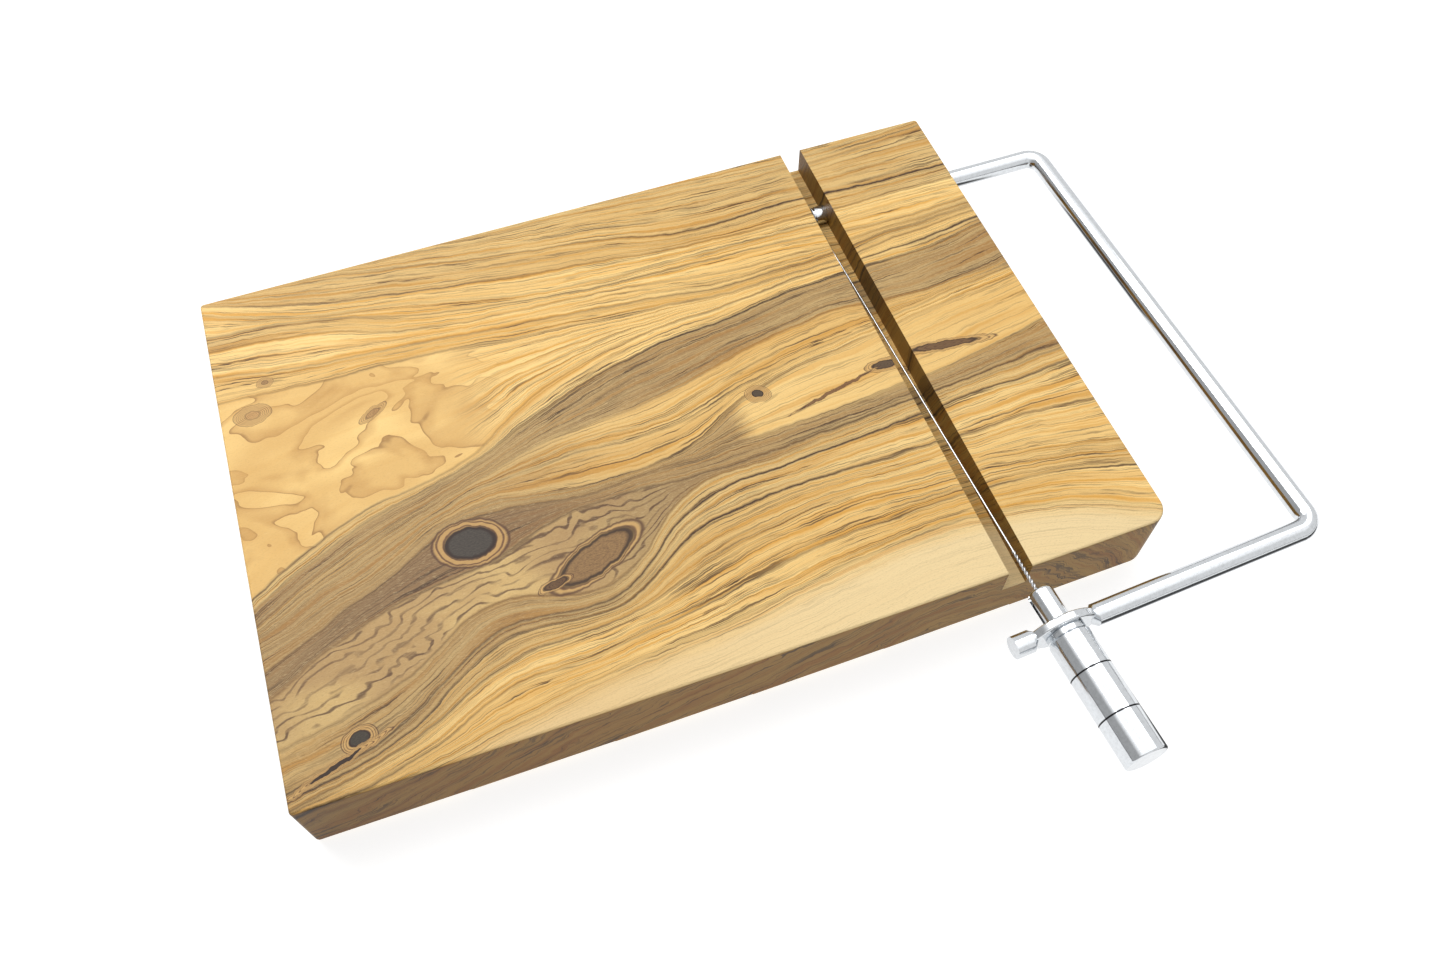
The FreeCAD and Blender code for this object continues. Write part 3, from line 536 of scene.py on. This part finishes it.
def chrome_material(name, grooves=()):
    """Polished chrome; grooves are distances along the handle's axis in mm, painted dark as their shade."""
    material, tree, shader = new_material(name)
    n = Nodes(tree)
    place = n.node("ShaderNodeTexCoord").outputs["Object"]
    in_mm = n.node("ShaderNodeVectorMath", {0: place, "Scale": 1 / MM}, operation="SCALE").outputs[0]
    finish = n.node("ShaderNodeGroup", {"Place": in_mm}, node_tree=chrome_finish)
    plate = finish.outputs["Plate"]
    if grooves:
        foot = n.node("ShaderNodeVectorMath", {0: in_mm, 1: AXIS_FOOT}, operation="SUBTRACT").outputs[0]
        far = n.node("ShaderNodeVectorMath", {0: foot, 1: AXIS}, operation="DOT_PRODUCT").outputs["Value"]
        # painted shade: the colour goes dark across each groove
        for groove in grooves:
            off = n.math("ABSOLUTE", n.minus(far, groove))
            plate = n.mix(n.ramp(off, GROOVE_HALF_WIDTH, GROOVE_FLOOR), plate, GROOVE_PAINTED_SHADE)
    tree.links.new(plate, shader.inputs["Base Color"])
    tree.links.new(finish.outputs["Roughness"], shader.inputs["Roughness"])
    shader.inputs["Metallic"].default_value = 1.0
    bump = n.node("ShaderNodeBump", {"Height": finish.outputs["Waves"], "Strength": 0.25,
                                     "Distance": 0.0002})
    tree.links.new(bump.outputs[0], shader.inputs["Normal"])
    return material


chrome = chrome_material("chromed_steel")
handle_chrome = chrome_material("handle_chrome", grooves=(14.35, 27.65))
for name, finish in (("bow", chrome), ("tension_stud", chrome), ("thrust_washer", chrome),
                     ("handle", handle_chrome)):
    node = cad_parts[name]
    node.data.materials.clear()
    node.data.materials.append(finish)

# ---- wire and its anchor pin --------------------------------------------------------------------------
# Drawn stainless wire, its two ends each laid back in a loop and twisted round themselves. The rear loop is
# on the bow's hinge rod and the front loop on a short pin that is pushed across the stud.
steel, tree, steel_shader = new_material("drawn_wire")
n = Nodes(tree)
place = n.node("ShaderNodeTexCoord").outputs["Object"]
draw_marks = n.noise(place, 2600.0, 2.0, 0.6)
drawn = n.mix(draw_marks, (0.60, 0.60, 0.61, 1), (0.46, 0.46, 0.47, 1))
tree.links.new(drawn, steel_shader.inputs["Base Color"])
steel_shader.inputs["Metallic"].default_value = 1.0
steel_shader.inputs["Roughness"].default_value = 0.28

# the wire's place: it starts on the hinge (mm), rises with the bow at rest and runs a little aslant
HINGE = Vector((75.8, 62.7, 17.0))
LIFT = math.radians(2.5)
ASLANT = math.radians(0.9765)
wire_place = (Matrix.Translation(HINGE) @ Matrix.Rotation(-LIFT, 4, "X")
              @ Matrix.Rotation(ASLANT, 4, "Z"))

# radii of the wire, of a strand in the twists, and of the loops on the neck and on the pin (mm)
WIRE = 0.3
STRAND = 0.29
NECK_LOOP = 2.83
PIN_LOOP = 1.45
# distances from the hinge along the wire: end of the rear twist, start of the front loop and the middles
# of that loop's two half rounds, then the length of the front twist and of one turn of a twist (mm)
REAR_END = 11.83
LOOP_START = 157.038
NEAR_CENTRE = 158.488
FAR_CENTRE = 164.688
FRONT_TWIST = 14.5
TWIST_PITCH = 2.8
# how far the twists run into the loops, and the straight wire into the twists (mm)
SUNK = 0.1
BURIED = 1.0
# straight pieces in a whole round, in one turn of a twist, and round the wire
ROUND_STEPS = 48
HALF_STEPS = 16
TWIST_STEPS = 14
SIDES = 8
STRAIGHT_SIDES = 12


def sweep(bm, path, radius, sides, closed=False):
    """Round tube drawn along a path, its ends joined or capped."""
    count = len(path)
    frames = []
    normal = None
    for k in range(count):
        if closed:
            tangent = path[(k + 1) % count] - path[k - 1]
        else:
            tangent = path[min(k + 1, count - 1)] - path[max(k - 1, 0)]
        tangent.normalize()
        if normal is None:
            normal = tangent.orthogonal()
        normal = (normal - tangent * normal.dot(tangent)).normalized()
        turned = Matrix((normal, tangent.cross(normal), tangent)).transposed().to_4x4()
        frames.append(Matrix.Translation(path[k]) @ turned)
    ring = bmesh.ops.create_circle(bm, segments=sides, radius=radius, matrix=frames[0])["verts"]
    edges = list({edge for vert in ring for edge in vert.link_edges})
    first = list(edges)
    for here, there in zip(frames, frames[1:]):
        grown = bmesh.ops.extrude_edge_only(bm, edges=edges)["geom"]
        verts = {item for item in grown if isinstance(item, bmesh.types.BMVert)}
        edges = [item for item in grown if isinstance(item, bmesh.types.BMEdge)
                 and item.verts[0] in verts and item.verts[1] in verts]
        bmesh.ops.transform(bm, matrix=there @ here.inverted(), verts=list(verts))
    if closed:
        bmesh.ops.bridge_loops(bm, edges=first + edges)
    else:
        bmesh.ops.holes_fill(bm, edges=first)
        bmesh.ops.holes_fill(bm, edges=edges)


def build_wire(bm):
    """Both loops, both twists and the straight wire between them."""
    ring = []
    for k in range(ROUND_STEPS):
        angle = k * math.tau / ROUND_STEPS
        ring.append(Vector((0, NECK_LOOP * math.cos(angle), NECK_LOOP * math.sin(angle))))
    sweep(bm, ring, WIRE, SIDES, closed=True)
    loop = []
    for centre, turn in ((NEAR_CENTRE, 0.0), (FAR_CENTRE, math.pi)):
        for k in range(HALF_STEPS + 1):
            angle = turn + math.pi * k / HALF_STEPS
            loop.append(Vector((PIN_LOOP * math.cos(angle), -centre + PIN_LOOP * math.sin(angle), 0)))
    sweep(bm, loop, WIRE, SIDES, closed=True)
    front_start = LOOP_START - FRONT_TWIST
    for start, end in ((NECK_LOOP - SUNK, REAR_END), (front_start, LOOP_START + SUNK)):
        pieces = int((end - start) / TWIST_PITCH * TWIST_STEPS)
        for side_turn in (0.0, math.pi):
            helix = []
            for k in range(pieces + 1):
                far = start + (end - start) * k / pieces
                angle = side_turn + math.tau * far / TWIST_PITCH
                helix.append(Vector((STRAND * math.cos(angle), -far, STRAND * math.sin(angle))))
            sweep(bm, helix, STRAND, SIDES)
    straight = [Vector((0, -far, 0)) for far in (REAR_END - BURIED, front_start + BURIED)]
    sweep(bm, straight, WIRE, STRAIGHT_SIDES)
    bmesh.ops.transform(bm, matrix=Matrix.Scale(MM, 4) @ wire_place, verts=bm.verts)


wire = new_object("wire_strands", build_wire, math.radians(50))
wire.data.materials.append(steel)
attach(wire, "bow")
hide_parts("cutting_wire")

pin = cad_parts["anchor_pin"]
pin.data.materials.clear()
pin.data.materials.append(steel)
